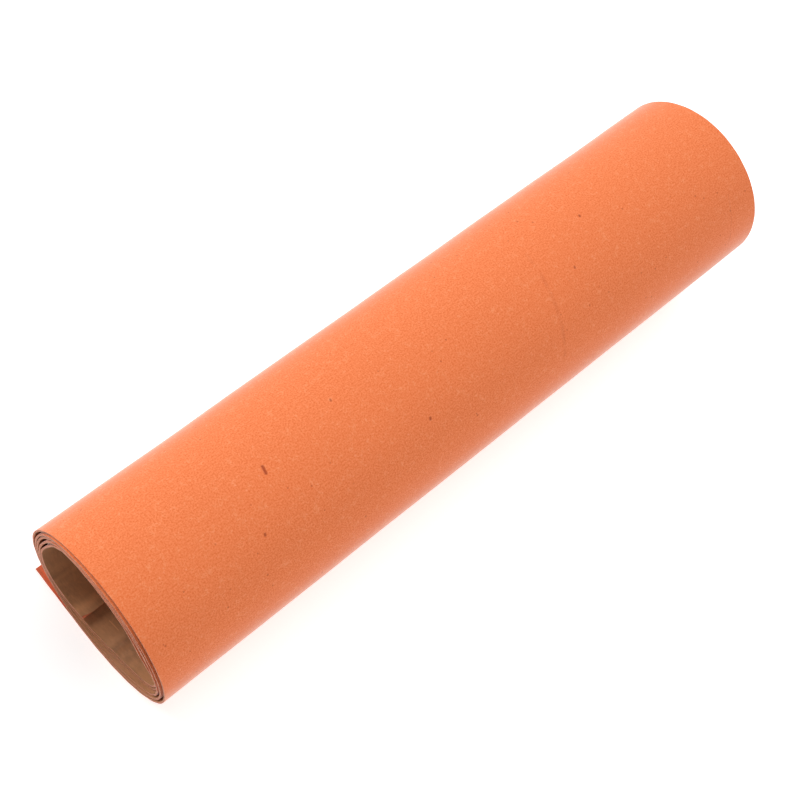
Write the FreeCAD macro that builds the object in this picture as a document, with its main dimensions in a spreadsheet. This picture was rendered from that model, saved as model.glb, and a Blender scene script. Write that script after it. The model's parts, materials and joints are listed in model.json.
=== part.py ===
"""Grip tape roll: one sheet of gritted adhesive tape on a release liner, wound without a core.

The roll lies on its side with its axis along X.  The outer end of the sheet leaves the roll
at its lowest line and lies flat towards +Y.  Looking along +X, the sheet climbs from that line
up the right side (-Y), over the top and down the left side, and winds inwards turn by turn.

The sheet's outer face follows a chain of quarter-circle arcs that meet tangentially at the
bottom, right, top and left of the roll.  Every face inside the sheet is the same chain with
each radius reduced by that face's depth, so the layers stay parallel all the way round.
A place on the sheet is given by its turn: the angle, in degrees, through which the sheet has
bent since it left the flat.  Flat places are negative lengths, in millimetres, from that line.
"""
import FreeCAD, Part
import math
import os
import Sketcher

doc = FreeCAD.newDocument("grip_tape_roll")

# ---------------------------------------------------------------- driving dimensions (mm, degrees)
DRIVING_SIZES = (
    ("sheet_width", 228.6, "width of the sheet, which is the length of the roll"),
    ("outer_radius", 27.2, "radius of the first quarter turn, from the bottom up the right side"),
    ("wound_angle", 1795, "whole angle through which the sheet is wound, almost five turns"),
    ("grit_depth", 0.27, "thickness of the grit coat on the outside of the sheet"),
    ("film_depth", 0.12, "thickness of the carrier film under the grit"),
    ("glue_depth", 0.08, "thickness of the pressure-sensitive adhesive"),
    ("liner_depth", 0.15, "thickness of the release liner, the inside of the sheet"),
    ("tight_gap", 0.04, "air between two turns on the left, where they lie close"),
    ("loose_gap", 0.38, "air between two turns on the right, where they stand off"),
    ("tail_length", 21.4, "flat outer end, from the lowest line of the roll to its free edge"),
    ("bare_length", 13.0, "outer end of the tape that the liner does not cover"),
    ("inner_bare_length", 0.3, "inner end of the tape that the liner does not cover"),
    ("strip_angle", 15, "arc of the outermost turn that each bending strip takes"),
    ("strip_count", 8, "number of bending strips, counted from the lowest line"),
    ("inner_end_angle", 45, "arc of the innermost turn that flexes into the bore"),
    ("inner_lip_angle", 16, "arc of the liner's inner edge that lifts off the adhesive"),
)

sheet = doc.addObject("Spreadsheet::Sheet", "Sizes")
for row, (alias, value, note) in enumerate(DRIVING_SIZES, start=1):
    sheet.set(f"A{row}", alias)
    sheet.set(f"B{row}", str(value))
    sheet.set(f"C{row}", note)
    sheet.setAlias(f"B{row}", alias)
doc.recompute()


def size(alias):
    """The plain number in the cell with this alias."""
    return float(sheet.get(alias))


# ------------------------------------------------------------------------- the wound path
SHEET_DEPTH = "(Sizes.grit_depth + Sizes.film_depth + Sizes.glue_depth + Sizes.liner_depth)"
TIGHT_PITCH = f"({SHEET_DEPTH} + Sizes.tight_gap)"
LOOSE_PITCH = f"({SHEET_DEPTH} + Sizes.loose_gap)"

sheet_depth = size("grit_depth") + size("film_depth") + size("glue_depth") + size("liner_depth")
tight_pitch = sheet_depth + size("tight_gap")
loose_pitch = sheet_depth + size("loose_gap")

# The radius drops by one of these steps where two quarter arcs meet.  Twice the left step plus
# the top and bottom steps is the pitch of the turns on the right, and the other way round.
even_step = (tight_pitch + loose_pitch) / 8
right_step = tight_pitch / 2 - even_step
left_step = loose_pitch / 2 - even_step
STEPS = (right_step, even_step, left_step, even_step)
EVEN_STEP = f"({TIGHT_PITCH} + {LOOSE_PITCH}) / 8"
RIGHT_STEP = f"({TIGHT_PITCH} / 2 - {EVEN_STEP})"
LEFT_STEP = f"({LOOSE_PITCH} / 2 - {EVEN_STEP})"
STEP_TERMS = (RIGHT_STEP, EVEN_STEP, LEFT_STEP, EVEN_STEP)

# Outward direction (y, z) at the end of each quarter: right, top, left, bottom.
QUARTER_END = ((-1, 0), (0, 1), (1, 0), (0, -1))


def quarter_centre(index):
    """Centre (y, z) and outer radius of quarter arc number index, counted from the flat."""
    y, z, radius = 0.0, size("outer_radius"), size("outer_radius")
    for passed in range(index):
        step = STEPS[passed % 4]
        y += QUARTER_END[passed % 4][0] * step
        z += QUARTER_END[passed % 4][1] * step
        radius -= step
    return y, z, radius


def radius_expression(index, depth_term):
    """The radius of quarter arc number index at a depth in the sheet, as a sheet expression."""
    terms = ["Sizes.outer_radius"]
    for position, term in enumerate(STEP_TERMS):
        times = len(range(position, index, 4))
        if times:
            terms.append(f"- {times} * {term}")
    return " ".join(terms) + f" - ({depth_term})"


def point_on_path(turn, depth):
    """The point (y, z) at a turn angle, or at a flat place, and at a depth in the sheet."""
    if turn <= 0:
        return FreeCAD.Vector(-turn, depth, 0)
    index = math.ceil(turn / 90) - 1
    y, z, radius = quarter_centre(index)
    angle = math.radians(-90 - turn)
    reach = radius - depth
    return FreeCAD.Vector(y + reach * math.cos(angle), z + reach * math.sin(angle), 0)


def path_edges(start, stop, depth):
    """The arcs, and the flat line if there is one, of one face from start to stop.

    Each is returned with the number of its quarter, or None for the flat line.
    """
    edges = []
    if start < 0:
        flat_stop = min(stop, 0)
        line = Part.LineSegment(point_on_path(start, depth), point_on_path(flat_stop, depth))
        edges.append((line, None))
    turn = max(start, 0)
    while turn < stop - 1e-9:
        index = int(turn // 90)
        arc_stop = min(stop, 90 * (index + 1))
        y, z, radius = quarter_centre(index)
        circle = Part.Circle(FreeCAD.Vector(y, z, 0), FreeCAD.Vector(0, 0, 1), radius - depth)
        first = math.radians(-90 - arc_stop)
        last = math.radians(-90 - turn)
        edges.append((Part.ArcOfCircle(circle, first, last), index))
        turn = arc_stop
    return edges


# --------------------------------------------------------------------- one layer in one zone
CENTRING = f"({RIGHT_STEP}) + ({EVEN_STEP}) / 2"


def origin_plane(body, role):
    """The body's own origin plane with this role."""
    for feature in body.Origin.OriginFeatures:
        if feature.Role == role:
            return feature
    raise RuntimeError(f"{body.Label} has no {role}")


def add_layer(label, zone, depths):
    """A body: the section of one layer between two places on the path, padded over the width.

    zone is (start, stop) for the face nearer the outside and depths is the pair of (value,
    expression) for the layer's outer and inner faces.
    """
    start, stop = zone
    (outer_depth, outer_term), (inner_depth, inner_term) = depths
    body = doc.addObject("PartDesign::Body", label)
    body.Label = label
    section = body.newObject("Sketcher::SketchObject", f"{label}_section")
    section.AttachmentSupport = [(origin_plane(body, "YZ_Plane"), "")]
    section.MapMode = "FlatFace"

    outer_edges = path_edges(start, stop, outer_depth)
    inner_edges = path_edges(start, stop, inner_depth)
    for edges, term in ((outer_edges, outer_term), (inner_edges, inner_term)):
        for curve, quarter in edges:
            number = section.addGeometry(curve, False)
            if quarter is None:
                continue
            section.addConstraint(Sketcher.Constraint("Radius", number, curve.Radius))
            bound = f"Constraints[{section.ConstraintCount - 1}]"
            section.setExpression(bound, radius_expression(quarter, term))
    for place in (start, stop):
        cut_line = Part.LineSegment(point_on_path(place, outer_depth), point_on_path(place, inner_depth))
        section.addGeometry(cut_line, False)

    pad = body.newObject("PartDesign::Pad", f"{label}_pad")
    pad.Profile = section
    pad.SideType = "Symmetric"
    pad.setExpression("Length", "Sizes.sheet_width")
    body.setExpression("Placement.Base.y", CENTRING)
    return body


# ------------------------------------------------------------------------------ the layers
def faces_from_outside():
    """Each layer's name with the (value, expression) depths of its outer and inner faces."""
    layers = {}
    value, term = 0.0, "0"
    for name, alias in (
        ("grit", "grit_depth"),
        ("film", "film_depth"),
        ("adhesive", "glue_depth"),
        ("liner", "liner_depth"),
    ):
        inner = (value + size(alias), f"{term} + Sizes.{alias}")
        layers[name] = ((value, term), inner)
        value, term = inner
    return layers


LAYERS = faces_from_outside()
TAPE = ("grit", "film", "adhesive")
LINER = ("liner",)

# ------------------------------------------------------------------------------- the zones
liner_edge = size("bare_length") - size("tail_length")
strip_angle = size("strip_angle")
strip_count = int(size("strip_count"))
wound_angle = size("wound_angle")
inner_end_start = wound_angle - size("inner_end_angle")
last_quarter = math.ceil(wound_angle / 90) - 1
innermost_radius = quarter_centre(last_quarter)[2] - sheet_depth
liner_stop = wound_angle - math.degrees(size("inner_bare_length") / innermost_radius)
inner_lip_start = liner_stop - size("inner_lip_angle")

zones = [
    ("tail_tip", -size("tail_length"), liner_edge, TAPE),
    ("tail_base", liner_edge, 0, TAPE),
    ("tail_lip", liner_edge, 0, LINER),
]
for number in range(1, strip_count + 1):
    stop = number * strip_angle
    zones.append((f"outer_strip_{number}", stop - strip_angle, stop, TAPE + LINER))
zones += [
    ("coil", strip_count * strip_angle, inner_end_start, TAPE + LINER),
    ("inner_end", inner_end_start, wound_angle, TAPE),
    ("inner_end", inner_end_start, inner_lip_start, LINER),
    ("inner_lip", inner_lip_start, liner_stop, LINER),
]

pieces = []
for zone_name, start, stop, layer_names in zones:
    for layer_name in layer_names:
        pieces.append(add_layer(f"{zone_name}_{layer_name}", (start, stop), LAYERS[layer_name]))
doc.recompute()

# --------------------------------------------------------------------------- check and write
for item in doc.Objects:
    if "Invalid" in item.State or "Error" in item.State:
        raise RuntimeError(f"{item.Label} did not compute: {item.State}")
os.makedirs("parts", exist_ok=True)
for piece in pieces:
    if piece.Shape.isNull() or not piece.Shape.isValid() or len(piece.Shape.Solids) != 1:
        raise RuntimeError(f"{piece.Label} is not one valid solid")
for piece in pieces:
    piece.Shape.exportStep(f"parts/{piece.Label}.step")

whole = Part.Compound([piece.Shape for piece in pieces])
box = whole.BoundBox
middle = whole.CenterOfGravity
print(f"{len(pieces)} pieces, box {box.XMin:.2f} {box.YMin:.2f} {box.ZMin:.2f} to "
      f"{box.XMax:.2f} {box.YMax:.2f} {box.ZMax:.2f}")
print(f"volume {whole.Volume:.1f}, centre of mass {middle.x:.3f} {middle.y:.3f} {middle.z:.3f}")
print(f"bore radius about {innermost_radius:.2f}")
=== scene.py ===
"""Grip tape roll: the sheet of gritted tape and its liner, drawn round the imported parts.

The sheet is one surface wound into a spiral.  A place on it is (along, across, depth):
along is the length in metres from the line where the sheet leaves the flat, negative on the
flat outer end and growing inwards round the turns; across runs with the roll's axis from the
middle of the sheet; depth is measured from the gritted face towards the liner.
"""

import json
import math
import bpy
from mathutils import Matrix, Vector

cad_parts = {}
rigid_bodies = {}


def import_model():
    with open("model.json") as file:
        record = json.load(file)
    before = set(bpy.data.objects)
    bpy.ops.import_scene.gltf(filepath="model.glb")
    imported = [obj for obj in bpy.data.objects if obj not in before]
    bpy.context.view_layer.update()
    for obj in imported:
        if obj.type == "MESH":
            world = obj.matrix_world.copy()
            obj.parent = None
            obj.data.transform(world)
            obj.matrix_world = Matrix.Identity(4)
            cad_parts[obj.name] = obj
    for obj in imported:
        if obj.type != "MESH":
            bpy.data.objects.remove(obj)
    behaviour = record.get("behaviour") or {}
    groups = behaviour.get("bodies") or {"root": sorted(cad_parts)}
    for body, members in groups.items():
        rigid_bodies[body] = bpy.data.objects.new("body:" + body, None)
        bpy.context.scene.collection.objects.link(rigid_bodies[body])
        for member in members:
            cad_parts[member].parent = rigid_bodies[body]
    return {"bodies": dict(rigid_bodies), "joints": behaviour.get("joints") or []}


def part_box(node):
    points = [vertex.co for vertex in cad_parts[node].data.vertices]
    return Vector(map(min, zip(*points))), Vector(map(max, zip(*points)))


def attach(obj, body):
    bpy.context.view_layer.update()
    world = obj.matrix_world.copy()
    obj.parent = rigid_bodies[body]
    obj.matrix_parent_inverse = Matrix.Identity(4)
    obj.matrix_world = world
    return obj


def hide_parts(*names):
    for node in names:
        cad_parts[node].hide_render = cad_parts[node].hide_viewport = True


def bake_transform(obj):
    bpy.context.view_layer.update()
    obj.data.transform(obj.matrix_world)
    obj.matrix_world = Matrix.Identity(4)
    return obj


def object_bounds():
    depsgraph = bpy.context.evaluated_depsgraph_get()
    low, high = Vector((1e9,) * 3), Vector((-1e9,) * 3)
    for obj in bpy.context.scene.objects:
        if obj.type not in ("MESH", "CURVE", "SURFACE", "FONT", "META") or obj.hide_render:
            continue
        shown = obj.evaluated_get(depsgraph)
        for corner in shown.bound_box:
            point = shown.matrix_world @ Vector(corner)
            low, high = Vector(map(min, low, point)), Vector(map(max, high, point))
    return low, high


bl_info = {
    "name": "Grip Tape Roll",
    "version": (1, 0, 0),
    "blender": (4, 5, 0),
    "location": "View3D > Sidebar > Grip Tape",
    "description": "Builds the layers of a coreless roll of grip tape round its packed parts",
    "category": "Add Mesh",
}

import bpy
import numpy as np
from mathutils import Matrix, Vector

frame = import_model()
CAD_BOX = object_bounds()

MM = 0.001

# ------------------------------------------------------------------ sizes taken from the parts
JOINTS = {joint["name"]: joint for joint in frame["joints"]}
STRIP_COUNT = sum(1 for body in frame["bodies"] if body.startswith("outer_strip_"))
STRIP_ANGLE = math.radians(JOINTS["unroll_2"]["range_deg"][1])
TAPE_LAYERS = ("grit", "film", "adhesive")
ALL_LAYERS = TAPE_LAYERS + ("liner",)

FOOT_Y = JOINTS["unroll_1"]["pos_m"][1]
FREE_EDGE_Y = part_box("tail_tip_grit")[1].y
LINER_EDGE_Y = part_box("tail_lip_liner")[1].y
HALF_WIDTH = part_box("coil_grit")[1].x
DEPTHS = {
    "grit": (0.0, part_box("tail_tip_grit")[1].z),
    "film": (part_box("tail_tip_film")[0].z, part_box("tail_tip_film")[1].z),
    "adhesive": (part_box("tail_tip_adhesive")[0].z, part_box("tail_tip_adhesive")[1].z),
    "liner": (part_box("tail_lip_liner")[0].z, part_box("tail_lip_liner")[1].z),
}

QUARTER_TURN = math.pi / 2
QUARTER_COUNT = 24  # six turns of arcs, one more than the sheet is wound


def quarter_arcs(count):
    """Centres, radii and starting lengths of the spiral's quarter arcs, from the foot inwards.

    Each arc turns a quarter circle clockwise seen along +X and meets the next tangentially, so
    the centre moves towards the shared point by the step that the radius loses there.  The
    first radius and the steps are read from the outermost turn of the parts.
    """
    rightmost_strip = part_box("outer_strip_6_grit")
    first_radius = FOOT_Y - rightmost_strip[0].y
    right_step = 2 * first_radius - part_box("coil_grit")[1].z
    even_step = 2 * (FOOT_Y - right_step)
    tight_pitch = 2 * (right_step + even_step)
    loose_pitch = 8 * even_step - tight_pitch
    left_step = loose_pitch / 2 - even_step
    steps = np.resize([right_step, even_step, left_step, even_step], count - 1)
    ways = np.resize([[-1, 0], [0, 1], [1, 0], [0, -1]], (count - 1, 2))
    radii = first_radius - np.concatenate([[0], np.cumsum(steps)])
    moves = np.vstack([[0, 0], np.cumsum(ways * steps[:, None], axis=0)])
    centres = np.array([FOOT_Y, first_radius]) + moves
    starts = np.concatenate([[0], np.cumsum(radii[:-1] * math.pi / 2)])
    return centres, radii, starts


CENTRES, RADII, STARTS = quarter_arcs(QUARTER_COUNT)


def length_at(angle):
    """The length along the gritted face at which the sheet has turned through angle."""
    quarter = int(angle // QUARTER_TURN)
    return STARTS[quarter] + RADII[quarter] * (angle - quarter * math.pi / 2)


def quarter_at(along):
    """The number of the quarter arc that each length lies on, zero on the flat end."""
    return np.clip(np.searchsorted(STARTS, along, side="right") - 1, 0, None)


def turned_at(along):
    """The angle through which the sheet has turned at each length, zero on the flat end."""
    quarter = quarter_at(along)
    angle = quarter * math.pi / 2 + (along - STARTS[quarter]) / RADII[quarter]
    return np.maximum(angle, 0)


def spiral(along, depth):
    """Points (y, z) of the wound sheet and its outward directions, for arrays of lengths.

    On the spiral a point is the arc's centre plus the radius less the depth along the outward
    direction, which starts straight down and turns clockwise.  On the flat end it is the foot
    less the length, at a height of the depth.
    """
    quarter = quarter_at(along)
    heading = -math.pi / 2 - turned_at(along)
    out = np.stack([np.cos(heading), np.sin(heading)], axis=-1)
    wound = CENTRES[quarter] + (RADII[quarter] - depth)[..., None] * out
    flat = np.stack([FOOT_Y - along, depth], axis=-1)
    on_flat = (along < 0)[..., None]
    return np.where(on_flat, flat, wound), out


# ---------------------------------------------------------------------------- user's settings
class GripTapeSizes(bpy.types.PropertyGroup):
    """Sizes of the sheet's ends and of its small irregularities."""

    wound_angle: bpy.props.FloatProperty(
        name="Wound angle", description="Whole angle through which the sheet is wound",
        default=math.radians(1795), subtype="ANGLE")
    inner_end_angle: bpy.props.FloatProperty(
        name="Inner end", description="Arc of the innermost turn that flexes into the bore",
        default=math.radians(45), subtype="ANGLE")
    inner_lip_angle: bpy.props.FloatProperty(
        name="Inner lip", description="Arc of the liner's inner edge that lifts off the tape",
        default=math.radians(16), subtype="ANGLE")
    inner_bare_length: bpy.props.FloatProperty(
        name="Inner bare length", description="Inner end of the tape beyond the liner",
        default=0.05 * MM, unit="LENGTH")
    torn_length: bpy.props.FloatProperty(
        name="Torn length", description="How far the liner's inner corner is torn back",
        default=0.8 * MM, unit="LENGTH")
    torn_width: bpy.props.FloatProperty(
        name="Torn width", description="How far along the roll the torn corner reaches",
        default=1.7 * MM, unit="LENGTH")
    edge_bow: bpy.props.FloatProperty(
        name="Edge bow", description="How far the outermost cut edge bows from flat",
        default=0.10 * MM, unit="LENGTH")
    edge_wander: bpy.props.FloatProperty(
        name="Edge wander", description="How far the cut edges wander from straight",
        default=0.10 * MM, unit="LENGTH")
    core_recess: bpy.props.FloatProperty(
        name="Core recess", description="How far the inmost turn is set back at the bottom right",
        default=2.1 * MM, unit="LENGTH")
    top_step: bpy.props.FloatProperty(
        name="Top step", description="How far the inner turns stand out at the top",
        default=0.85 * MM, unit="LENGTH")
    wave_height: bpy.props.FloatProperty(
        name="Wave height", description="Height of the long shallow waves in the turns",
        default=0.05 * MM, unit="LENGTH")
    end_lift: bpy.props.FloatProperty(
        name="End lift", description="How far the inner end stands off the turn below it",
        default=1.3 * MM, unit="LENGTH")
    crease_height: bpy.props.FloatProperty(
        name="Crease height", description="Height of the creases across the inmost turn",
        default=0.70 * MM, unit="LENGTH")


class GripTapeColours(bpy.types.PropertyGroup):
    """Colours of the layers and the floor."""

    grit: bpy.props.FloatVectorProperty(
        name="Grit", description="The gritted face", subtype="COLOR", size=3,
        default=(0.86, 0.212, 0.064))
    cut_edge: bpy.props.FloatVectorProperty(
        name="Cut edge", description="The cut edges of the tape", subtype="COLOR", size=3,
        default=(0.54, 0.215, 0.135))
    adhesive: bpy.props.FloatVectorProperty(
        name="Adhesive", description="The sticky face", subtype="COLOR", size=3,
        default=(0.57, 0.135, 0.055))
    liner: bpy.props.FloatVectorProperty(
        name="Liner", description="The release liner", subtype="COLOR", size=3,
        default=(0.43, 0.202, 0.094))
    floor: bpy.props.FloatVectorProperty(
        name="Floor", description="The surface the roll lies on", subtype="COLOR", size=3,
        default=(0.96, 0.96, 0.96))


def sizes():
    """The scene's size settings."""
    return bpy.context.scene.grip_tape_sizes


def colours():
    """The scene's colour settings."""
    return bpy.context.scene.grip_tape_colours


# ------------------------------------------------------------------------- shape of the sheet
# Air that a turn gains or loses over an even winding: the number of the gap counted from the
# outside, the clock angle of its middle and its half width in degrees (0 at the bottom, 90 at
# the right, seen from the near end), and its height in mm.
TURN_GAPS = (
    (1, 122, 50, 1.15),
    (2, 116, 48, 0.75),
    (3, 100, 30, -0.14),
    (4, 138, 32, 0.80),
    (4, 92, 20, -0.12),
    (1, 62, 26, -0.12),
    (2, 60, 26, -0.22),
    (3, 60, 26, -0.20),
    (4, 58, 24, -0.10),
    (1, 264, 42, 0.60),
    (2, 262, 40, 0.20),
    (3, 260, 40, 0.65),
    (4, 258, 42, 0.65),
    (4, 190, 50, 0.40),
)
# Creases across the inmost turn: degrees before the inner end, half width, share of the height.
CREASES = ((330, 5, 1.0), (29, 4, 0.4), (120, 8, 0.3))
# Long shallow waves: how fast each runs round the roll and along it, where it starts, in radians,
# and its share of the height.
LONG_WAVES = ((3, 9, 0.0, 1.0), (5, -14, 1.3, 0.6), (2, 23, 0.4, 0.5))
# The inner end's lift: the arc it takes, in degrees, and how sharply it steepens to the edge.
LIFT_ARC = 14
LIFT_POWER = 1.6

# Where along the axis the turns lie, at counts of turns from the outer end, as shares of the set
# back at the bottom right and of the step at the top, with the clock angles of their middles.
SET_BACK_TURNS = (0.6, 2.3, 3.0, 4.2)
SET_BACK_SHARES = (0, 0.34, 0.90, 1)
STEP_TURNS = (0.75, 1.25, 4.2)
STEP_SHARES = (0, 0.85, 1)
SET_BACK_CLOCK = 45
STEP_CLOCK = 178
SLIDE_HALF_WIDTH = 105
# How the two cut edges wander: radians per metre of sheet, starting radians, share of the height.
NEAR_WANDER = ((61, 0, 1.0), (173, 1, 0.5), (911, 0, 0.4))
FAR_WANDER = ((53, 2, 1.0), (151, 0, 0.5), (877, 0, 0.4))


def ridge(distance, half_width):
    """A ridge with a sharp top: one at its line, falling straight to nothing each side."""
    return np.clip(1 - np.abs(distance) / half_width, 0, None)


def hump(distance, half_width):
    """A rounded hump: the square of a cosine, nothing beyond its half width."""
    reach = np.clip(np.abs(distance) / half_width, 0, 1)
    return np.cos(reach * math.pi / 2) ** 2


def inward_shift(along, across):
    """How far each place stands inside the even spiral.

    It is the sum of a hump for every gap that is wider or tighter than even outside this turn,
    of long shallow waves that fade out at the foot, of the inmost turn's creases, and of the
    inner end's lift, which starts gently and steepens to the edge.
    """
    setting = sizes()
    turned = turned_at(along)
    clock = np.degrees(turned) % 360
    turns_outside = np.degrees(turned) // 360
    lifted = (1 - np.cos(np.minimum(turned, math.pi))) / 2
    shift = setting.wave_height * lifted * sum(
        share * np.sin(round_rate * turned + axis_rate * across / HALF_WIDTH + start)
        for round_rate, axis_rate, start, share in LONG_WAVES
    )
    for gap, middle, half_width, height in TURN_GAPS:
        change = height * MM * hump(clock - middle, half_width)
        shift += np.where(turns_outside >= gap, change, 0)

    to_end = np.degrees(setting.wound_angle - turned)
    for before_end, half_width, share in CREASES:
        shift += setting.crease_height * share * ridge(to_end - before_end, half_width)
    shift += setting.end_lift * np.clip(1 - to_end / LIFT_ARC, 0, 1) ** LIFT_POWER
    return shift


def wander(along, waves):
    """A sum of sine waves along the sheet."""
    return sum(share * np.sin(rate * along + start) for rate, start, share in waves)


def slide_along_axis(along, side):
    """How far each place has moved with the axis.

    At the bottom right the turns are set back from the near end, the more the further in
    they lie; at the top all the inner ones stand out past the outermost.  The near edge also
    bows twice round each turn.  side is -1 at the near cut edge and 1 at the far one, and
    each edge wanders by its own waves.
    """
    setting = sizes()
    turned = turned_at(along)
    near_share = (1 - side) / 2
    clock = np.degrees(turned) % 360
    from_set_back = (clock - SET_BACK_CLOCK + 180) % 360 - 180
    turns = turned / math.tau
    set_back = np.interp(turns, SET_BACK_TURNS, SET_BACK_SHARES) * setting.core_recess
    stands_out = np.interp(turns, STEP_TURNS, STEP_SHARES) * setting.top_step
    slide = (set_back * hump(from_set_back, SLIDE_HALF_WIDTH)
             - stands_out * hump(clock - STEP_CLOCK, SLIDE_HALF_WIDTH))
    bow = setting.edge_bow * (0.45 + np.cos(2 * turned - math.radians(76))) * near_share
    near, far = wander(along, NEAR_WANDER), wander(along, FAR_WANDER)
    edge = setting.edge_wander * (near * near_share + far * (1 - near_share)) / 2
    return slide + bow + edge


def sheet_points(along, across, depth):
    """Places on the sheet as points in space, for arrays of one shape."""
    flat_places, out = spiral(along, depth + inward_shift(along, across) * (along > 0))
    x = across + slide_along_axis(along, across / HALF_WIDTH)
    return np.concatenate([x[..., None], flat_places], axis=-1)


def steps_between(start, stop, coarse, fine):
    """Values from start to stop, fine steps near both ends that widen to coarse ones."""
    span = stop - start
    values = [0.0]
    while values[-1] < span:
        nearest = min(values[-1], span - values[-1])
        values.append(values[-1] + min(coarse, fine + 0.25 * max(nearest, 0)))
    values = np.array(values) * span / values[-1]
    return start + values


ACROSS = steps_between(-HALF_WIDTH, HALF_WIDTH, 7 * MM, 0.5 * MM)


def layer_mesh(name, start, stop, layer, coarse=0.6 * MM, torn=0.0):
    """A closed shell of one layer between two lengths along the sheet.

    Its outer and inner faces are grids over (along, across) at the layer's two depths, joined
    round all four edges.  torn says how much shorter each column ends.  Faces are numbered
    0 outer, 1 inner and 2 cut edge for materials, and the UV map holds (across, along) in
    metres.
    """
    along = steps_between(start, stop, coarse, 0.2 * MM)
    rows, columns = len(along), len(ACROSS)
    grid_along, grid_across = np.meshgrid(along, ACROSS, indexing="ij")
    grid_along = start + (grid_along - start) * (1 - torn / (stop - start))
    outer, inner = (
        sheet_points(grid_along, grid_across, np.full_like(grid_along, depth))
        for depth in DEPTHS[layer]
    )
    points = np.concatenate([outer.reshape(-1, 3), inner.reshape(-1, 3)])
    number = np.arange(rows * columns).reshape(rows, columns)
    inner_from = rows * columns

    face = np.stack([number[:-1, :-1], number[:-1, 1:], number[1:, 1:], number[1:, :-1]], -1)
    face = face.reshape(-1, 4)
    edge = np.concatenate([number[0], number[1:, -1], number[-1, -2::-1], number[-2:0:-1, 0]])
    edge_next = np.roll(edge, -1)
    wall = np.stack([edge_next, edge, edge + inner_from, edge_next + inner_from], -1)
    quads = np.concatenate([face, face[:, ::-1] + inner_from, wall])
    groups = np.repeat([0, 1, 2], [len(face), len(face), len(wall)])

    corners = points[quads]
    diagonal_cross = np.cross(corners[:, 2] - corners[:, 0], corners[:, 3] - corners[:, 1])
    if np.einsum("ij,ij->", corners.mean(axis=1), diagonal_cross) < 0:
        quads = quads[:, ::-1]

    mesh = bpy.data.meshes.new(name)
    mesh.vertices.add(len(points))
    mesh.vertices.foreach_set("co", points.ravel())
    mesh.loops.add(quads.size)
    mesh.loops.foreach_set("vertex_index", quads.ravel())
    mesh.polygons.add(len(quads))
    mesh.polygons.foreach_set("loop_start", np.arange(len(quads)) * 4)
    mesh.polygons.foreach_set("material_index", groups)
    mesh.update(calc_edges=True)
    place = np.stack([grid_across.ravel(), grid_along.ravel()], -1)
    place = np.concatenate([place, place])
    uv = mesh.uv_layers.new(name="sheet_place")
    uv.uv.foreach_set("vector", place[quads.ravel()].ravel())
    mesh.shade_smooth()
    mesh.set_sharp_from_angle(angle=math.radians(40))
    mesh.validate()
    return mesh


def add_piece(name, layer, start, stop, **mesh_settings):
    """A layer's object between two lengths, with its materials."""
    mesh = layer_mesh(name, start, stop, layer, **mesh_settings)
    piece = bpy.data.objects.new(name, mesh)
    bpy.context.scene.collection.objects.link(piece)
    for material in layer_materials(layer):
        mesh.materials.append(material)
    return piece


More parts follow.
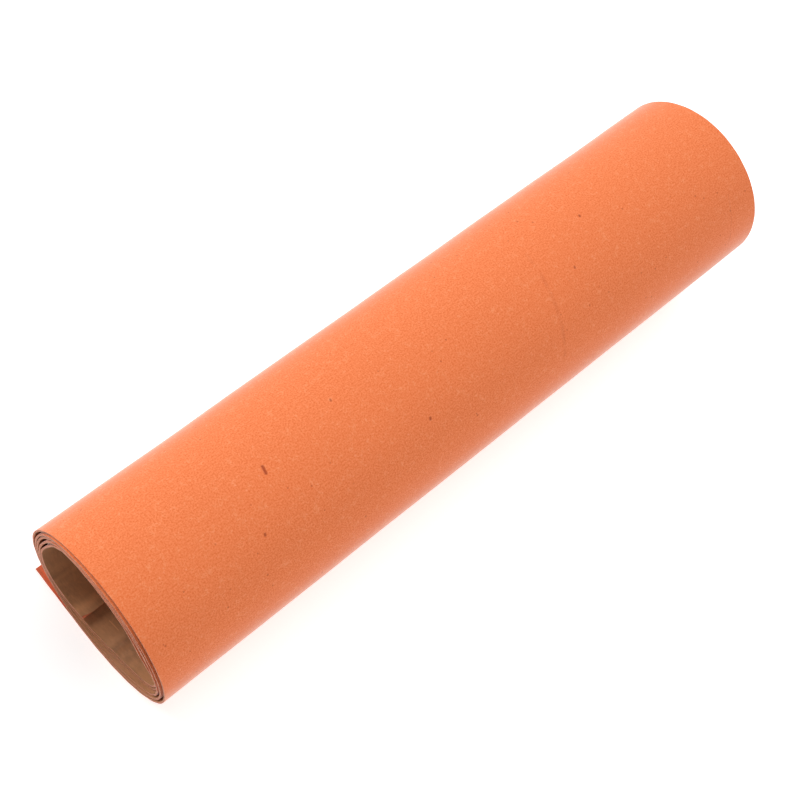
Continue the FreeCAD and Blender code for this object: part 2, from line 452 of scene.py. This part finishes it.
# ------------------------------------------------------------------------------- materials
class Finish:
    """A material's nodes, with short calls that add, set and link them."""

    def __init__(self, name):
        self.material = bpy.data.materials.new(name)
        self.material.use_nodes = True
        self.tree = self.material.node_tree
        self.shader = self.tree.nodes["Principled BSDF"]
        self.sheet_place = self.add("ShaderNodeUVMap", {"uv_map": "sheet_place"}).outputs["UV"]
        self.object_place = self.add("ShaderNodeTexCoord").outputs["Object"]

    def add(self, kind, settings=None, inputs=None):
        """A node with its settings and its inputs, named or numbered."""
        node = self.tree.nodes.new(kind)
        for key, value in (settings or {}).items():
            setattr(node, key, value)
        for key, value in (inputs or {}).items():
            self.put(node.inputs[key], value)
        return node

    def put(self, socket, value):
        """Links a socket to another node's output, or gives it a value."""
        if isinstance(value, bpy.types.NodeSocket):
            self.tree.links.new(value, socket)
        elif socket.type == "RGBA" and len(value) == 3:
            socket.default_value = (*value, 1)
        else:
            socket.default_value = value

    def maths(self, operation, first, second=0.0):
        """The result of one operation on two numbers."""
        node = self.add("ShaderNodeMath", {"operation": operation}, {0: first, 1: second})
        return node.outputs[0]

    def ramp(self, value, zero_at, one_at):
        """A value brought to 0 and 1 at two places, and held beyond them."""
        inputs = {"Value": value, "From Min": zero_at, "From Max": one_at}
        return self.add("ShaderNodeMapRange", {"clamp": True}, inputs).outputs["Result"]

    def mix(self, share, first, second):
        """Two colours mixed: all first at 0, all second at 1."""
        node = self.add("ShaderNodeMix", {"data_type": "RGBA"})
        inputs = {socket.identifier: socket for socket in node.inputs}
        self.put(inputs["Factor_Float"], share)
        self.put(inputs["A_Color"], first)
        self.put(inputs["B_Color"], second)
        outputs = {socket.identifier: socket for socket in node.outputs}
        return outputs["Result_Color"]

    def over(self, tone, mask, strength, colour):
        """A colour laid over a tone where a mask is 1, at a strength."""
        return self.mix(self.maths("MULTIPLY", mask, strength), tone, colour)

    def noise(self, place, scale, detail=2.0, roughness=0.5):
        """The strength of a noise pattern with its scale per metre."""
        inputs = {"Vector": place, "Scale": scale, "Detail": detail, "Roughness": roughness}
        return self.add("ShaderNodeTexNoise", None, inputs).outputs["Fac"]

    def stretched(self, place, scale):
        """A place scaled by three numbers, so that a pattern on it is drawn out."""
        inputs = {"Vector": place, "Scale": scale}
        return self.add("ShaderNodeMapping", None, inputs).outputs["Vector"]

    def parts(self, vector):
        """The three numbers of a vector."""
        return self.add("ShaderNodeSeparateXYZ", None, {"Vector": vector}).outputs

    def specks(self, place, scale, radius, share, shift):
        """Round specks: at most one in each cell of a grid, where the cell's number is low."""
        moved = self.add("ShaderNodeMapping", None, {"Vector": place, "Location": (shift, 0, 0)})
        inputs = {"Vector": moved.outputs["Vector"], "Scale": scale}
        cells = self.add("ShaderNodeTexVoronoi", None, inputs)
        chosen = self.maths("LESS_THAN", self.parts(cells.outputs["Color"])[0], share)
        inside = self.ramp(cells.outputs["Distance"], radius, radius * 0.4)
        return self.maths("MULTIPLY", chosen, inside)

    def threads(self, place, scale, thickness):
        """Short winding threads: the level line of one noise where a second one is high."""
        level = self.maths("SUBTRACT", self.noise(place, scale, detail=1.0), 0.5)
        line = self.ramp(self.maths("ABSOLUTE", level), thickness, 0)
        broken = self.ramp(self.noise(place, scale * 0.6, detail=0.0), 0.52, 0.62)
        return self.maths("MULTIPLY", line, broken)

    # Used for the bands of painted highlight and painted shade on the liner.
    def band_across(self, length, half_width):
        """A soft line right across the sheet: 1 at a length along it, 0 at its half width."""
        along = self.parts(self.sheet_place)[1]
        distance = self.maths("ABSOLUTE", self.maths("SUBTRACT", along, length))
        return self.ramp(distance, half_width, 0)

    def stroke(self, start, stop, half_width):
        """A straight mark on the sheet: 1 on the line between two places, 0 at its half width."""
        across, along, _ = self.parts(self.sheet_place)
        share = self.ramp(along, start[1], stop[1])
        line_across = self.maths("MULTIPLY_ADD", share, stop[0] - start[0])
        self.put(line_across.node.inputs[2], start[0])
        line_along = self.maths("MULTIPLY_ADD", share, stop[1] - start[1])
        self.put(line_along.node.inputs[2], start[1])
        offset = {"X": self.maths("SUBTRACT", across, line_across),
                  "Y": self.maths("SUBTRACT", along, line_along)}
        vector = self.add("ShaderNodeCombineXYZ", None, offset).outputs["Vector"]
        distance = self.add("ShaderNodeVectorMath", {"operation": "LENGTH"}, {0: vector})
        return self.ramp(distance.outputs["Value"], half_width, half_width * 0.3)

    def bump(self, height, distance, strength):
        """The normal of a bump whose full height is distance."""
        inputs = {"Height": height, "Distance": distance, "Strength": strength}
        return self.add("ShaderNodeBump", None, inputs).outputs["Normal"]

    def shade(self, **inputs):
        """Sets the shader's own sockets, and gives the material."""
        for name, value in inputs.items():
            self.put(self.shader.inputs[name.replace("_", " ")], value)
        return self.material


def tinted(colour, *factors):
    """A colour with its channels made lighter or darker, by one factor or by three."""
    factors = factors * 3 if len(factors) == 1 else factors
    return tuple(min(channel * factor, 1.0) for channel, factor in zip(colour, factors))


# Marks on the gritted face, each from one place to another (across, along) in mm, with its half
# width in mm and its strength: a chip and single dark grains.
GRIT_MARKS = (
    ((-64.8, 88.0), (-64.4, 89.9), 0.60, 0.75),
    ((-18.5, 73.4), (-18.4, 73.7), 0.55, 0.7),
    ((-38.5, 93.3), (-38.4, 93.6), 0.45, 0.6),
    ((-74.2, 75.6), (-74.1, 75.9), 0.50, 0.7),
    ((56.9, 93.9), (57.0, 94.2), 0.50, 0.7),
    ((44.2, 82.8), (44.3, 83.1), 0.45, 0.6),
)
# Faint worn lines, given in the same way: a long scuff and a pressed line.
WORN_LINES = (
    ((29.7, 62.7), (35.2, 93.8), 0.90, 0.14),
    ((102.3, 55.7), (104.3, 72.5), 0.35, 0.16),
)


def mark_in_mm(finish, start, stop, half_width):
    """A stroke between two places (across, along), all in mm."""
    ends = [tuple(value * MM for value in end) for end in (start, stop)]
    return finish.stroke(*ends, half_width * MM)


def grit_material():
    """Orange grit: cloudy tone, close grain, pale threads, dark grains and a few marks."""
    finish = Finish("orange grit")
    base = tuple(colours().grit)
    place = finish.sheet_place
    cloud = finish.noise(place, 45, detail=3)
    mottle = finish.noise(place, 420, detail=2, roughness=0.6)
    grain = finish.noise(place, 2100, detail=2, roughness=0.7)
    tone = finish.mix(finish.ramp(cloud, 0.3, 0.7), tinted(base, 0.97), tinted(base, 1.03))
    pale, deep = tinted(base, 1.12, 1.42, 1.95), tinted(base, 0.86, 0.62, 0.40)
    tone = finish.mix(finish.ramp(mottle, 0.2, 0.8), finish.mix(0.3, tone, deep), tone)
    tone = finish.mix(finish.ramp(grain, 0.3, 0.7), finish.mix(0.75, tone, deep),
                      finish.mix(0.75, tone, pale))
    threads = finish.threads(place, 700, 0.035)
    tone = finish.over(tone, threads, 0.55, tinted(base, 1.1, 1.6, 2.4))
    flecks = finish.specks(place, 620, 0.22, 0.09, 0.77)
    tone = finish.over(tone, flecks, 0.5, tinted(base, 1.12, 1.7, 2.8))
    dark = tinted(base, 0.42, 0.16, 0.12)
    grains = finish.specks(place, 380, 0.14, 0.16, 0.31)
    tone = finish.over(tone, grains, 0.5, dark)
    for start, stop, half_width, strength in GRIT_MARKS:
        mark = mark_in_mm(finish, start, stop, half_width)
        tone = finish.over(tone, mark, strength, tinted(dark, 0.8))
    for start, stop, half_width, strength in WORN_LINES:
        mark = mark_in_mm(finish, start, stop, half_width)
        worn = finish.ramp(finish.noise(place, 300), 0.3, 0.6)
        tone = finish.over(tone, finish.maths("MULTIPLY", mark, worn), strength, dark)
    height = finish.maths("ADD", grain, finish.maths("MULTIPLY", threads, 0.4))
    return finish.shade(Base_Color=tone, Roughness=0.9, Normal=finish.bump(height, 0.08 * MM, 0.6),
                        Sheen_Weight=0.7, Sheen_Roughness=0.3, Specular_IOR_Level=0.3)


def cut_edge_material():
    """The cut edge of the tape: dusty pink orange, ragged grit in places."""
    finish = Finish("cut edge")
    base = tuple(colours().cut_edge)
    grain = finish.noise(finish.object_place, 2600, detail=2)
    patch = finish.noise(finish.object_place, 330, detail=2)
    tone = finish.mix(finish.ramp(patch, 0.35, 0.65), tinted(base, 0.72), tinted(base, 1.1))
    tone = finish.mix(finish.ramp(grain, 0.4, 0.7), tone, tinted(base, 1.3))
    return finish.shade(Base_Color=tone, Roughness=0.9,
                        Normal=finish.bump(grain, 0.06 * MM, 0.6))


def adhesive_material():
    """The bare sticky face: orange red, satin, with faint drag lines."""
    finish = Finish("adhesive face")
    base = tuple(colours().adhesive)
    place = finish.sheet_place
    drag = finish.noise(finish.stretched(place, (1.0, 0.15, 1.0)), 900, detail=3)
    cloud = finish.noise(place, 260, detail=3)
    tone = finish.mix(finish.ramp(cloud, 0.3, 0.7), tinted(base, 0.8), tinted(base, 1.2))
    tone = finish.mix(finish.ramp(drag, 0.4, 0.8), tone, tinted(base, 1.35))
    return finish.shade(Base_Color=tone, Roughness=0.55, Specular_IOR_Level=0.35,
                        Normal=finish.bump(drag, 0.03 * MM, 0.4))


# Painted light and shade on the paper of the inmost turn, in bands right across it: the angle wound
# there, the half width in mm, and how much of the paper's tone they turn, lighter where positive
# (painted highlights on creases and on the lifted inner end) and darker where negative (painted
# shade).
PAINTED_LIGHT_BANDS = (
    (1457.5, 1.7, 0.12),
    (1464.0, 1.7, -0.32),
    (1440.5, 2.6, -0.20),
    (1788.0, 1.9, 0.34),
    (1762.0, 0.9, 0.14),
    (1758.5, 1.1, -0.16),
    (1735.0, 7.0, -0.18),
)


def liner_material():
    """Siliconed golden paper: soft gloss, close fibres, one fine scratch, and bands of painted
    highlight and painted shade across the inmost turn.
    """
    finish = Finish("release liner")
    base = tuple(colours().liner)
    place = finish.sheet_place
    fibre = finish.noise(finish.stretched(place, (1.0, 0.3, 1.0)), 1300, detail=3, roughness=0.6)
    cloud = finish.noise(place, 110, detail=3)
    tone = finish.mix(finish.ramp(cloud, 0.3, 0.7), tinted(base, 0.86), tinted(base, 1.14))
    tone = finish.mix(finish.ramp(fibre, 0.35, 0.75), tone, tinted(base, 1.25))
    threads = finish.threads(place, 520, 0.03)
    tone = finish.over(tone, threads, 0.25, tinted(base, 1.6))
    # lighter serves the scratch and the painted highlights; the darker tone is painted shade.
    lighter, painted_shade_tone = tinted(base, 2.0), tinted(base, 0.25, 0.2, 0.2)
    scratch_across = -HALF_WIDTH + 5 * MM
    scratch_start = length_at(math.radians(1446))
    scratch_stop = scratch_start + 3.6 * MM
    scratch = finish.stroke((scratch_across, scratch_start), (scratch_across, scratch_stop),
                            0.15 * MM)
    tone = finish.over(tone, scratch, 0.6, lighter)
    # Painted highlights and painted shade in bands right across the inmost turn's paper.
    for wound, half_width, share in PAINTED_LIGHT_BANDS:
        line = finish.band_across(length_at(math.radians(wound)), half_width * MM)
        tone = finish.over(tone, line, abs(share), lighter if share > 0 else painted_shade_tone)
    rough = finish.ramp(fibre, -0.9, 2.4)
    return finish.shade(Base_Color=tone, Roughness=rough, Specular_IOR_Level=0.35,
                        Normal=finish.bump(fibre, 0.02 * MM, 0.35))


def liner_edge_material():
    """The cut edge of the liner's paper."""
    finish = Finish("liner edge")
    base = tuple(colours().liner)
    grain = finish.noise(finish.object_place, 2200, detail=2)
    tone = finish.mix(finish.ramp(grain, 0.3, 0.7), tinted(base, 0.7), tinted(base, 1.2))
    return finish.shade(Base_Color=tone, Roughness=0.85)


MATERIAL_MAKERS = {
    "orange grit": grit_material,
    "cut edge": cut_edge_material,
    "adhesive face": adhesive_material,
    "release liner": liner_material,
    "liner edge": liner_edge_material,
}
LAYER_FINISHES = {
    "grit": ("orange grit", "cut edge", "cut edge"),
    "film": ("cut edge", "cut edge", "cut edge"),
    "adhesive": ("adhesive face", "adhesive face", "adhesive face"),
    "liner": ("release liner", "release liner", "liner edge"),
}


def layer_materials(layer):
    """The layer's materials for its outer face, inner face and cut edges."""
    for name in LAYER_FINISHES[layer]:
        if name not in bpy.data.materials:
            MATERIAL_MAKERS[name]()
    return [bpy.data.materials[name] for name in LAYER_FINISHES[layer]]


# ------------------------------------------------------------------------------- the pieces
FREE_EDGE = FOOT_Y - FREE_EDGE_Y
LINER_EDGE = FOOT_Y - LINER_EDGE_Y
BASE_MIDDLE = LINER_EDGE / 2


class GRIPTAPE_OT_flat_end(bpy.types.Operator):
    """Make the flat outer end of the tape and the edge of the liner on it"""

    bl_idname = "griptape.flat_end"
    bl_label = "Flat outer end"

    def execute(self, context):
        for layer in TAPE_LAYERS:
            piece = add_piece(f"flat_end_{layer}", layer, FREE_EDGE, BASE_MIDDLE)
            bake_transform(piece)
            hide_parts(f"tail_tip_{layer}", f"tail_base_{layer}")
        lip = add_piece("flat_end_liner_edge", "liner", LINER_EDGE, 0)
        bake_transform(lip)
        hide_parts("tail_lip_liner")
        return {"FINISHED"}


class GRIPTAPE_OT_outer_turn(bpy.types.Operator):
    """Make the part of the outermost turn that lies over the outer strips, fixed in its wound shape
    """

    bl_idname = "griptape.outer_turn"
    bl_label = "Outer turn"

    def execute(self, context):
        chain = ["tail_base"]
        chain += [f"outer_strip_{number}" for number in range(1, STRIP_COUNT + 1)]
        chain.append("coil")
        for number in range(1, STRIP_COUNT + 2):
            stop = length_at((number - 0.5) * STRIP_ANGLE)
            start = BASE_MIDDLE if number == 1 else length_at((number - 1.5) * STRIP_ANGLE)
            for layer in ALL_LAYERS:
                first = 0 if number == 1 and layer == "liner" else start
                name = f"outer_turn_{number}_{layer}"
                piece = add_piece(name, layer, first, stop)
                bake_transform(piece)
                if number <= STRIP_COUNT:
                    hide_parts(f"outer_strip_{number}_{layer}")
        return {"FINISHED"}


class GRIPTAPE_OT_coil(bpy.types.Operator):
    """Make the wound turns that stay in the roll"""

    bl_idname = "griptape.coil"
    bl_label = "Coil"

    def execute(self, context):
        start = length_at((STRIP_COUNT + 0.5) * STRIP_ANGLE)
        stop = inner_flex_lengths()[0]
        for layer in ALL_LAYERS:
            piece = add_piece(f"coil_turns_{layer}", layer, start, stop, coarse=0.9 * MM)
            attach(piece, "coil")
            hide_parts(f"coil_{layer}")
        return {"FINISHED"}


def inner_flex_lengths():
    """Where the bend into the inner end starts and stops."""
    hinge = sizes().wound_angle - sizes().inner_end_angle
    half_bend = math.radians(8)
    return length_at(hinge - half_bend), length_at(hinge + half_bend)


def torn_corner():
    """How much shorter the paper ends at each place across, torn away at its near corner.

    It is most at the near cut edge and falls as a square root to nothing a fifth past the torn
    width, and a sine wave across makes the tear ragged.
    """
    from_edge = (ACROSS + HALF_WIDTH) / sizes().torn_width
    ragged = 0.8 + 0.2 * np.sin(9 * from_edge)
    return sizes().torn_length * ragged * np.clip(1.2 - from_edge, 0, 1) ** 0.5


class GRIPTAPE_OT_inner_end(bpy.types.Operator):
    """Make the loose inner end of the tape and the liner's edge on it"""

    bl_idname = "griptape.inner_end"
    bl_label = "Inner end"

    def execute(self, context):
        setting = sizes()
        start, stop = inner_flex_lengths()
        tape_end = length_at(setting.wound_angle)
        liner_end = tape_end - setting.inner_bare_length
        last_quarter = int(setting.wound_angle // QUARTER_TURN)
        lip_start = liner_end - setting.inner_lip_angle * RADII[last_quarter]
        lip_bend = 1.5 * MM
        for layer in TAPE_LAYERS:
            piece = add_piece(f"inner_end_tape_{layer}", layer, start, tape_end)
            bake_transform(piece)
            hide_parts(f"inner_end_{layer}")
        liner = add_piece("inner_end_paper", "liner", start, lip_start - lip_bend)
        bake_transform(liner)
        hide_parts("inner_end_liner")
        lip = add_piece("inner_end_paper_edge", "liner", lip_start - lip_bend, liner_end,
                        torn=torn_corner())
        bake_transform(lip)
        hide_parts("inner_lip_liner")
        return {"FINISHED"}


# --------------------------------------------------------------------------------- the stage
# Strength of the surround towards the near end and towards the far end.
DIM = 0.06
BRIGHT = 1.22

# Places in metres, the lens in mm and the camera's turn about its own line of sight.
KEY_PLACE = (0.55, 0.18, 1.05)
SIDE_PLACE = (-0.38, 0.90, 0.70)
CAMERA_PLACE = (-0.1899, -0.0146, 0.4149)
CAMERA_TARGET = (-0.0109, -0.0017, 0.0273)
CAMERA_LENS = 68.54
CAMERA_TURN = math.radians(53.15)


def aimed(name, data, place, target, turn=0.0):
    """An object at place whose -Z looks at target, with +X of the roll turned clockwise in view."""
    ahead = (Vector(target) - Vector(place)).normalized()
    along = Vector((1, 0, 0))
    up = (along - along.dot(ahead) * ahead).normalized()
    right = ahead.cross(up)
    turned_up = math.cos(turn) * up - math.sin(turn) * right
    turned_right = math.sin(turn) * up + math.cos(turn) * right
    item = bpy.data.objects.new(name, data)
    axes = Matrix((turned_right, turned_up, -ahead)).transposed().to_4x4()
    item.matrix_world = Matrix.Translation(place) @ axes
    bpy.context.scene.collection.objects.link(item)
    return item


def add_light(name, place, target, size, power):
    """A square area light that looks at target."""
    lamp = bpy.data.lights.new(name, "AREA")
    lamp.shape = "SQUARE"
    lamp.size = size
    lamp.energy = power
    return aimed(name, lamp, place, target)


def add_floor():
    """A wide pale floor a hair below the roll, with a soft even tone."""
    half_side = 3.0
    gap = 0.26 * MM
    corners = [(-half_side, -half_side, -gap), (half_side, -half_side, -gap),
               (half_side, half_side, -gap), (-half_side, half_side, -gap)]
    mesh = bpy.data.meshes.new("floor")
    mesh.from_pydata(corners, [], [(0, 1, 2, 3)])
    floor = bpy.data.objects.new("floor", mesh)
    bpy.context.scene.collection.objects.link(floor)
    finish = Finish("floor")
    mesh.materials.append(finish.shade(Base_Color=tuple(colours().floor), Roughness=0.9,
                                       Specular_IOR_Level=0.1, Emission_Strength=0.46,
                                       Emission_Color=(1, 1, 1)))


def add_world(scene):
    """A white surround, dim on the side of the near end and bright on the side of the far one."""
    world = scene.world or bpy.data.worlds.new("soft room")
    scene.world = world
    world.use_nodes = True
    background = world.node_tree.nodes["Background"]
    background.inputs["Color"].default_value = (1, 1, 1, 1)
    place = world.node_tree.nodes.new("ShaderNodeTexCoord")
    parts = world.node_tree.nodes.new("ShaderNodeSeparateXYZ")
    strength = world.node_tree.nodes.new("ShaderNodeMapRange")
    for key, value in (("From Min", -1), ("From Max", 1), ("To Min", DIM), ("To Max", BRIGHT)):
        strength.inputs[key].default_value = value
    links = world.node_tree.links
    links.new(place.outputs["Generated"], parts.inputs["Vector"])
    links.new(parts.outputs["X"], strength.inputs["Value"])
    links.new(strength.outputs["Result"], background.inputs["Strength"])


class GRIPTAPE_OT_stage(bpy.types.Operator):
    """Make the floor, the soft lights and the camera"""

    bl_idname = "griptape.stage"
    bl_label = "Stage"

    def execute(self, context):
        low, high = CAD_BOX
        middle = ((low.x + high.x) / 2, 0, (low.z + high.z) / 2)
        add_floor()
        add_light("key", KEY_PLACE, middle, size=0.6, power=3.1)
        add_light("side light", SIDE_PLACE, (low.x, 0, middle[2]), size=0.3, power=4.5)

        add_world(context.scene)
        context.scene.view_settings.view_transform = "Standard"

        lens = bpy.data.cameras.new("camera")
        lens.lens = CAMERA_LENS
        lens.clip_start = 0.01
        camera = aimed("camera", lens, CAMERA_PLACE, CAMERA_TARGET, turn=CAMERA_TURN)
        context.scene.camera = camera
        return {"FINISHED"}


class GRIPTAPE_PT_panel(bpy.types.Panel):
    """The sidebar panel with a button for each making step and the roll's settings"""

    bl_idname = "GRIPTAPE_PT_panel"
    bl_label = "Grip Tape Roll"
    bl_space_type = "VIEW_3D"
    bl_region_type = "UI"
    bl_category = "Grip Tape"

    def draw(self, context):
        for operator in OPERATORS:
            self.layout.operator(operator.bl_idname)
        for group in (sizes(), colours()):
            for name in group.bl_rna.properties.keys():
                if name not in ("name", "rna_type"):
                    self.layout.prop(group, name)


OPERATORS = (
    GRIPTAPE_OT_stage,
    GRIPTAPE_OT_flat_end,
    GRIPTAPE_OT_outer_turn,
    GRIPTAPE_OT_coil,
    GRIPTAPE_OT_inner_end,
)
CLASSES = (GripTapeSizes, GripTapeColours, *OPERATORS, GRIPTAPE_PT_panel)


def register():
    """Registers the classes and hangs the settings on the scene."""
    for item in CLASSES:
        bpy.utils.register_class(item)
    bpy.types.Scene.grip_tape_sizes = bpy.props.PointerProperty(type=GripTapeSizes)
    bpy.types.Scene.grip_tape_colours = bpy.props.PointerProperty(type=GripTapeColours)


def unregister():
    """Takes the settings and classes away again."""
    del bpy.types.Scene.grip_tape_colours
    del bpy.types.Scene.grip_tape_sizes
    for item in reversed(CLASSES):
        bpy.utils.unregister_class(item)


def main():
    """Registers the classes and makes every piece."""
    register()
    bpy.ops.griptape.stage()
    bpy.ops.griptape.flat_end()
    bpy.ops.griptape.outer_turn()
    bpy.ops.griptape.coil()
    bpy.ops.griptape.inner_end()


if __name__ == "__main__":
    main()
